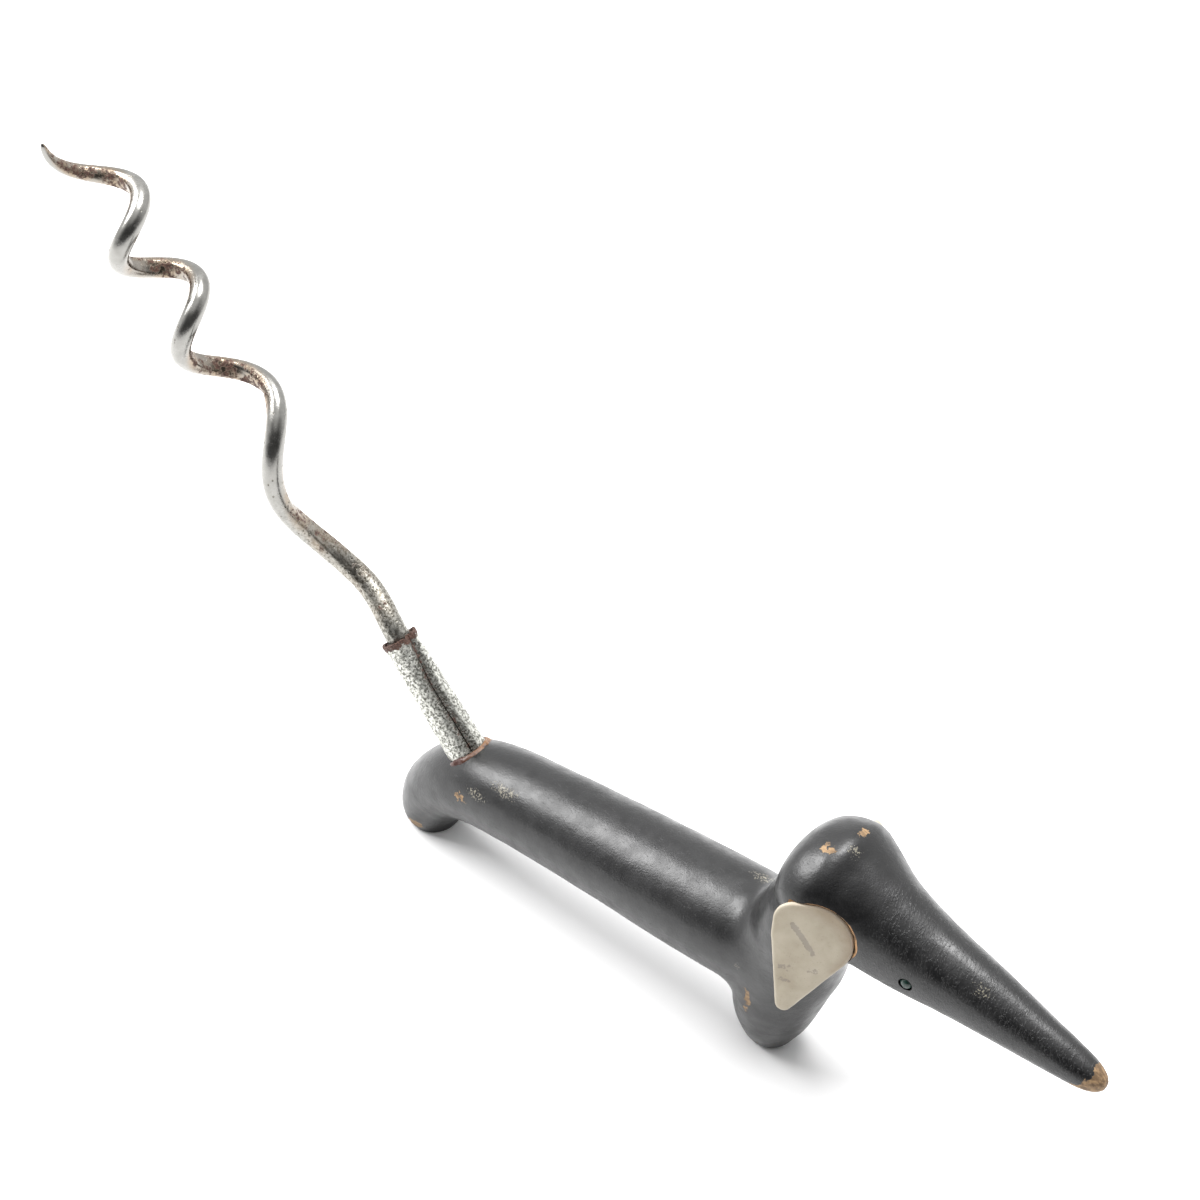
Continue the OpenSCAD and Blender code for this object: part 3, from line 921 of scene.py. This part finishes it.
def make_body(lacquer, wood):
    """The carving, with the pockets for the ears, eyes and tail cut into it."""
    points, edges, faces = carved_block()
    normals = point_normals(points, faces)
    knife_marks = KNIFE_DEPTH * (lumps(points, 4.0, 1) + 0.4 * lumps(points, 1.6, 2))
    points = points + normals * knife_marks[:, None]
    flat_soles(points)
    shift = Matrix.Translation((DOG_SHIFT, 0, 0))
    body = new_piece("dog_body", points, faces, [lacquer, wood], shift)
    for side, mirror in (("right", Matrix.Identity(4)), ("left", TO_LEFT)):
        rings = []
        for height, grow, lean in SEAT_SECTIONS:
            outline = ear_outline(grow, 0.05) + lean * SEAT_LEAN
            rings.append(np.column_stack((outline, np.full(len(outline), height))))
        cut_away(body, cutter("seat_cutter_" + side, rings, wood, mirror @ EAR))
        bead_low, bead_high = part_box("eye_" + side)
        bead_r = (bead_high - bead_low).z / 2 * PER_M
        profile = [(EYE_PIN_HOLE_R, -EYE_PIN_HOLE_DEPTH), (EYE_PIN_HOLE_R, -bead_r),
                   (bead_r + 0.02, -bead_r * 0.9), (bead_r + 0.03, 0.0), (bead_r + 0.04, 1.6)]
        cut_away(body, round_cutter("eye_cutter_" + side, profile, lacquer, eye_place(side)))
    shank_hole_r, ferrule_hole_r = SHANK_R + 0.02, FERRULE_BASE_R + 0.02
    profile = [(shank_hole_r, -SHANK_DEPTH - 0.1), (shank_hole_r, -FERRULE_DEPTH - 0.01),
               (ferrule_hole_r, -FERRULE_DEPTH), (ferrule_hole_r, 4)]
    cut_away(body, round_cutter("tail_cutter", profile, wood, TAIL))
    body.data.shade_smooth()
    body.data.set_sharp_from_angle(angle=radians(35))
    settle(body, "dog", "lacquered_wood", "body")
    return body


# ---------- ears ----------

LEATHER_T = 0.8
LEATHER_SUNK = 0.1         # its face lies this much below the seat's mouth
EAR_EDGE_R = 0.36
EAR_RINGS = 16


def ear_section():
    """Rows of the ear from the middle of its back, round the edge, to the middle of its face.

    Each row is (share of the outline's size, inset from the outline, height, edge attribute)."""
    rows = []
    shares = smooth_step(np.linspace(0.08, 1, EAR_RINGS)) * 0.94 + 0.06
    for share in shares[:-1]:
        rows.append((share, EAR_EDGE_R, -LEATHER_T, 0.0))
    for angle in np.linspace(-pi / 2, pi / 2, 9):
        inset = EAR_EDGE_R * (1 - cos(angle))
        height = -LEATHER_T / 2 + LEATHER_T / 2 * sin(angle)
        rows.append((1.0, inset, height, max(0.0, cos(angle)) ** 0.5))
    for share in shares[-2::-1]:
        rows.append((share, EAR_EDGE_R, 0.0, 0.0))
    return rows


def make_ear(side, mirror, leather):
    """One leather ear; the bend joint's hinge and axis are read, but the ear is not bent."""
    outline = ear_outline(-0.02, 0.03, seed=7)
    out = outward(outline)
    middle = outline.mean(axis=0)
    points, edge, rim = [], [], []
    rows = ear_section()
    for share, inset, height, near in rows:
        row = outline - out * inset
        row = middle + (row - middle) * share
        lift = 0.06 * (1 - share ** 2) - 0.05 * share ** 4 if height > -0.1 else 0.0
        for x, y in row:
            points.append((x, y, height + lift))
            edge.append(near)
            # rim masks painted shade under the head's edge at the ear's upper front, partly a real brown stain
            upper_front = max(0.0, (x - middle[0]) / 5 + (y - middle[1]) / 9)
            rim.append(max(0.0, share - 0.72) / 0.28 * min(1.0, upper_front))
    sides = len(outline)
    faces = skin_faces(len(rows), sides, capped=False)
    points += [(*middle, -LEATHER_T), (*middle, 0.06)]
    edge += [0.0, 0.0]
    rim += [0.0, 0.0]
    back_middle, face_middle = len(points) - 2, len(points) - 1
    last = (len(rows) - 1) * sides
    for j in range(sides):
        k = (j + 1) % sides
        faces.append([back_middle, k, j])
        faces.append([face_middle, last + j, last + k])
    points = np.array(points)
    points[:, 2] += 0.05 * lumps([(x, y, 0) for x, y, _ in points], 2.5, 5) - LEATHER_SUNK
    piece = new_piece("ear_" + side, points, faces, [leather], mirror @ EAR, sharp=60)
    # rim carries the painted shade by the head's edge to the ear's material
    for name, values in (("edge", edge), ("rim", rim)):
        store(piece, name, values)
    joint = JOINTS[f"ear_{side}_bend"]
    hinge, axis = Vector(joint["pos_m"]), Vector(joint["axis"]).normalized()
    low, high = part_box("ear_flap_" + side)
    down = (low + high) / 2 - hinge
    down = (down - axis * down.dot(axis)).normalized()
    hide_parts("ear_root_" + side, "ear_flap_" + side)
    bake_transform(piece)
    return piece


# ---------- worm ----------

# Angles are in degrees. Shift, bend and lift set the coil's axis a little off the shank's.
WORM = {
    "Shank Radius": SHANK_R, "Coil Wire Radius": 1.2, "Coil Radius": 3.1, "Coil Pitch": 10.9,
    "Worm Length": 69.0, "Shank Depth": SHANK_DEPTH, "Ferrule Length": FERRULE_L,
    "Coil Start": 128.0, "Neck Pitch": 128.0, "Settle Length": 62.0, "Neck Length": 9.0,
    "Coil Shift": 0.6, "Coil Bend": 3.7, "Coil Lift": 1.7, "Open Length": 14.0,
    "Open Rate": 0.67, "Point Length": 9.0, "Point Radius": 0.1, "Groove Depth": 0.22,
    "Groove Start": 7.5,
}
WORM_RINGS = 620
WORM_SIDES = 36


def worm_tree(material):
    """Geometry nodes that draw the wire: a straight shank, then a coil that tightens to its pitch."""
    tree, given, result = group_tree(
        "drawn_worm", "GeometryNodeTree",
        [(name, FLOAT, value) for name, value in WORM.items()]
        + [("Steel", "NodeSocketMaterial", None)],
        [("Geometry", "NodeSocketGeometry")])
    size = {name: Field(tree, given.outputs[name]) for name in WORM}
    start = -1 * (size["Ferrule Length"] + size["Shank Depth"])
    line = add(tree, "GeometryNodeCurvePrimitiveLine",
               Start=add(tree, "ShaderNodeCombineXYZ", Z=start).outputs[0],
               End=add(tree, "ShaderNodeCombineXYZ", Z=size["Worm Length"]).outputs[0])
    wire = add(tree, "GeometryNodeResampleCurve", Curve=line.outputs["Curve"], Count=WORM_RINGS)
    position = tree.nodes.new("GeometryNodeInputPosition")
    s = Field(tree, add(tree, "ShaderNodeSeparateXYZ", Vector=position.outputs[0]).outputs["Z"])
    beyond = maths(tree, "MAXIMUM", s, 0.0)
    u = maths(tree, "DIVIDE", beyond, size["Settle Length"], clamp=True)
    ramp = u * u * u - u * u * u * u / 2
    late = maths(tree, "MAXIMUM", s - size["Settle Length"], 0.0)
    neck_rate = maths(tree, "DIVIDE", 1.0, size["Neck Pitch"])
    coil_rate = maths(tree, "DIVIDE", 1.0, size["Coil Pitch"])
    turns = beyond * neck_rate + (coil_rate - neck_rate) * (size["Settle Length"] * ramp + late)
    opened = maths(tree, "MAXIMUM", s - size["Worm Length"] + size["Open Length"], 0.0)
    phase = size["Coil Start"] + turns * 360 - size["Open Rate"] * opened * opened
    phase = maths(tree, "RADIANS", phase)
    spread = between(tree, s / size["Neck Length"], 0.0, 1.0)
    across, aside = maths(tree, "COSINE", phase), maths(tree, "SINE", phase)
    lift = maths(tree, "TANGENT", maths(tree, "RADIANS", size["Coil Lift"]))
    bend = maths(tree, "TANGENT", maths(tree, "RADIANS", size["Coil Bend"]))
    x = size["Coil Radius"] * spread * across + lift * beyond
    y = size["Coil Radius"] * spread * aside + size["Coil Shift"] * spread - bend * beyond
    outwards = add(tree, "ShaderNodeCombineXYZ", X=across, Y=aside)
    keep = tree.nodes.new("GeometryNodeCaptureAttribute")
    keep.capture_items.new("FLOAT", "Along")
    keep.capture_items.new("VECTOR", "Outwards")
    keep.domain = "POINT"
    give(tree, keep.inputs["Geometry"], wire.outputs[0])
    give(tree, keep.inputs["Along"], s)
    give(tree, keep.inputs["Outwards"], outwards.outputs[0])
    along = Field(tree, keep.outputs["Along"])
    wire = add(tree, "GeometryNodeSetPosition", Geometry=keep.outputs["Geometry"],
               Position=add(tree, "ShaderNodeCombineXYZ", X=x, Y=y,
                            Z=s + size["Ferrule Length"]).outputs[0])
    drawn = size["Shank Radius"] - (size["Shank Radius"] - size["Coil Wire Radius"]) * between(
        tree, along / size["Worm Length"], 0.0, 0.5)
    to_go = maths(tree, "DIVIDE", size["Worm Length"] - along, size["Point Length"], clamp=True)
    sharpness = maths(tree, "SQRT", to_go)
    radius = size["Point Radius"] + (drawn - size["Point Radius"]) * sharpness
    profile = add(tree, "GeometryNodeCurvePrimitiveCircle", Resolution=WORM_SIDES, Radius=1.0)
    tube = add(tree, "GeometryNodeCurveToMesh", Curve=wire.outputs[0],
               Profile_Curve=profile.outputs["Curve"], Scale=radius, Fill_Caps=True)
    normal = tree.nodes.new("GeometryNodeInputNormal")
    facing = Field(tree, vector_maths(tree, "DOT_PRODUCT", normal.outputs[0],
                                      keep.outputs["Outwards"]))
    inner = (1 - facing) / 2 * between(tree, along, -1, 4)
    inner_store = add(tree, "GeometryNodeStoreNamedAttribute",
                      {"data_type": "FLOAT", "domain": "POINT"},
                      Geometry=tube.outputs["Mesh"], Name="inner", Value=inner)
    along_store = add(tree, "GeometryNodeStoreNamedAttribute",
                      {"data_type": "FLOAT", "domain": "POINT"},
                      Geometry=inner_store.outputs[0], Name="along", Value=along)
    stored = add(tree, "GeometryNodeInputNamedAttribute", {"data_type": "FLOAT"}, Name="inner")
    groove = between(tree, stored.outputs[0], 0.86, 1.0) * between(
        tree, along / size["Groove Start"], 0.95, 1.25) * between(
        tree, size["Worm Length"] - along, 3, 10)
    sink = vector_maths(tree, "SCALE", normal.outputs[0])
    give(tree, sink.node.inputs["Scale"], groove * size["Groove Depth"] * -1)
    grooved = add(tree, "GeometryNodeSetPosition", Geometry=along_store.outputs[0], Offset=sink)
    smooth = add(tree, "GeometryNodeSetShadeSmooth", Geometry=grooved.outputs[0])
    real = add(tree, "GeometryNodeRealizeInstances", Geometry=smooth.outputs[0])
    finish = add(tree, "GeometryNodeSetMaterial", Geometry=real.outputs[0], Material=material)
    give(tree, result.inputs["Geometry"], finish.outputs[0])
    return tree


def make_worm(steel):
    piece = bpy.data.objects.new("worm_wire", bpy.data.meshes.new("worm_wire"))
    bpy.context.scene.collection.objects.link(piece)
    modifier = piece.modifiers.new("drawn_worm", "NODES")
    modifier.node_group = worm_tree(steel)
    for item in modifier.node_group.interface.items_tree:
        if item.item_type == "SOCKET" and item.in_out == "INPUT" and item.name in WORM:
            modifier[item.identifier] = WORM[item.name]
    applied(piece)
    piece.data.transform(Matrix.Scale(MM, 4) @ TAIL)
    settle(piece, "dog", "worm_steel", "worm")
    return piece


# ---------- ferrule, filler and glue ----------

MOUTH_FLARE = 0.2
FLARE_L = 1.6
FERRULE_ROWS = 90
FERRULE_COLUMNS = 120
SEAM_BASE = -20            # degrees round the tail from uphill, at the wood
SEAM_DRIFT = 24            # how far the seam has wandered at the mouth
SEAM_ROLL = 0.42           # how deep the sheet's two edges are rolled in
SEAM_REACH = 26            # degrees of the sheet that the roll takes on either side
SEAM_GAP = 2.2             # degrees from the seam's middle to either edge


def seam_at(z):
    """The seam's angle round the tail at that height."""
    return radians(SEAM_BASE + SEAM_DRIFT * smooth_step((z - 10) / 6))


def sheet_radius(z):
    """The outside of the sheet, which narrows up the tail and flares at the mouth."""
    t = np.clip(z / FERRULE_L, 0, 1)
    flare = MOUTH_FLARE * smooth_step((z - FERRULE_L + FLARE_L) / FLARE_L)
    return FERRULE_BASE_R + (FERRULE_MOUTH_R - FERRULE_BASE_R) * t + flare


def ragged_rim(turn):
    """Height lost by the torn mouth of the sheet at each angle."""
    bumps = noise.noise(Vector((2.2 * cos(turn), 2.2 * sin(turn), 4.1)))
    teeth = noise.noise(Vector((6.5 * cos(turn), 6.5 * sin(turn), 9.7)))
    return max(0.0, 0.12 + 0.45 * bumps + 0.35 * teeth)


def make_ferrule(plating):
    """A rolled sheet: one closed strip of section, swept up the tail with its edges turned in."""
    shares = np.linspace(0, 1, FERRULE_COLUMNS)
    gap = radians(SEAM_GAP)
    points, rim, seam = [], [], []
    for row in range(FERRULE_ROWS):
        up = row / (FERRULE_ROWS - 1)
        ring_out, ring_in = [], []
        for share in shares:
            base = seam_at(FERRULE_L * up)
            turn = base + gap + share * (2 * pi - 2 * gap)
            to_edge = degrees(min(share, 1 - share) * (2 * pi - 2 * gap))
            roll = SEAM_ROLL * (1 - smooth_step(to_edge / SEAM_REACH)) ** 1.3
            top = FERRULE_L - ragged_rim(turn)
            z = -FERRULE_DEPTH + up * (top + FERRULE_DEPTH)
            dent = 0.03 * noise.noise(Vector((3 * cos(turn), 3 * sin(turn), z / 1.7)))
            outer = sheet_radius(z) - roll + dent
            inner = outer - FERRULE_T
            rust = 1.15 * smooth_step((z - top + 1.2) / 1.2) + 0.45 * smooth_step(1 - to_edge / 22)
            shade = smooth_step(1.1 - to_edge / SEAM_REACH)
            ring_out.append((outer * cos(turn), outer * sin(turn), z, rust, shade))
            ring_in.append((inner * cos(turn), inner * sin(turn), z, rust + 0.5, shade))
        for x, y, z, rust, shade in ring_out + ring_in[::-1]:
            points.append((x, y, z))
            rim.append(min(1.3, rust))
            seam.append(shade)
    faces = skin_faces(FERRULE_ROWS, 2 * FERRULE_COLUMNS)
    piece = new_piece("ferrule_sheet", points, faces, [plating], TAIL, sharp=50)
    for name, values in (("rim", rim), ("seam", seam)):
        store(piece, name, values)
    settle(piece, "dog", "ferrule_plating", "ferrule")
    return piece


def turned(name, profile, material, sides, rough, seed, sharp=40):
    """A turned ring through (radius, height) points, closed on itself and roughened by noise."""
    turn = np.arange(sides) * 2 * pi / sides
    points = np.concatenate([
        np.stack((r * np.cos(turn), r * np.sin(turn), np.full(sides, h)), axis=1)
        for r, h in profile])
    amount = rough * (lumps(points, 0.9, seed) + 0.5 * lumps(points, 0.35, seed + 1))
    away = points.copy()
    away[:, 2] = 0
    away /= np.linalg.norm(away, axis=1)[:, None]
    points = points + away * (amount * 0.6)[:, None]
    points[:, 2] += amount
    faces = skin_faces(len(profile), sides, capped=False, wrapped=True)
    return new_piece(name, points, faces, [material], TAIL, sharp)


def make_filler(rust):
    """The rusty plug between the shank and the ferrule's mouth."""
    top = FERRULE_L
    inside = FERRULE_MOUTH_R - FERRULE_T - 0.03
    profile = [(SHANK_R - 0.1, top - 3), (inside, top - 3), (inside, top - 0.9),
               (inside + 0.02, top - 0.35), (inside - 0.08, top - 0.15), (inside - 0.18, top - 0.2),
               (SHANK_R + 0.05, top - 0.32), (SHANK_R - 0.1, top - 0.3)]
    piece = turned("ferrule_plug", profile, rust, 72, 0.06, 11)
    settle(piece, "dog", "rust_filler", "ferrule_filler")
    return piece


def make_glue(amber):
    """The ring of glue where the ferrule enters the wood."""
    base = FERRULE_BASE_R
    profile = [(base - 0.1, -0.7), (base + 0.35, -0.7), (base + 0.55, -0.3), (base + 0.5, 0.0),
               (base + 0.36, 0.2), (base + 0.2, 0.3), (base + 0.02, 0.33), (base - 0.1, 0.25)]
    piece = turned("socket_crust", profile, amber, 96, 0.16, 21)
    settle(piece, "dog", "amber_glue", "socket_glue")
    return piece


# ---------- eyes ----------

BEAD_SIDES = 40
BEAD_RINGS = 20


def make_eye(side, glass):
    """A round glass bead with a single point at either pole."""
    low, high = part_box("eye_" + side)
    radius = (high - low).z / 2 * PER_M
    turn = np.arange(BEAD_SIDES) * 2 * pi / BEAD_SIDES
    points = [(0, 0, -radius)]
    for lift in np.linspace(-pi / 2, pi / 2, BEAD_RINGS + 2)[1:-1]:
        points += [(radius * cos(lift) * cos(a), radius * cos(lift) * sin(a), radius * sin(lift))
                   for a in turn]
    points.append((0, 0, radius))
    faces = skin_faces(BEAD_RINGS, BEAD_SIDES, capped=False, offset=1)
    last = 1 + (BEAD_RINGS - 1) * BEAD_SIDES
    for j in range(BEAD_SIDES):
        k = (j + 1) % BEAD_SIDES
        faces.append([0, 1 + k, 1 + j])
        faces.append([len(points) - 1, last + j, last + k])
    piece = new_piece("eye_bead_" + side, points, faces, [glass], eye_place(side))
    settle(piece, "dog", "eye_glass", "eye_" + side)
    return piece


def finish_pin(side, steel):
    """The pin is shown as the frame has it, in its own material."""
    node = frame["nodes"]["eye_pin_" + side]
    node.data.materials.clear()
    node.data.materials.append(steel)


FLOOR_HALF = 3.0           # metres


def make_floor(paper):
    mesh = bpy.data.meshes.new("floor")
    corners = [(-1, -1), (1, -1), (1, 1), (-1, 1)]
    mesh.from_pydata([(x * FLOOR_HALF, y * FLOOR_HALF, 0) for x, y in corners], [], [(0, 1, 2, 3)])
    mesh.materials.append(paper)
    floor = bpy.data.objects.new("floor", mesh)
    bpy.context.scene.collection.objects.link(floor)


# ---------- the whole object ----------

make_camera()
light_studio()
make_floor(paper_floor())
make_body(lacquered_wood(), bare_wood())
leather, glass, steel = ear_leather(), eye_glass(), pin_steel()
for side, mirror in (("right", Matrix.Identity(4)), ("left", TO_LEFT)):
    make_ear(side, mirror, leather)
    make_eye(side, glass)
    finish_pin(side, steel)
make_worm(worm_steel())
make_ferrule(ferrule_plating())
make_filler(rust_filler())
make_glue(amber_glue())
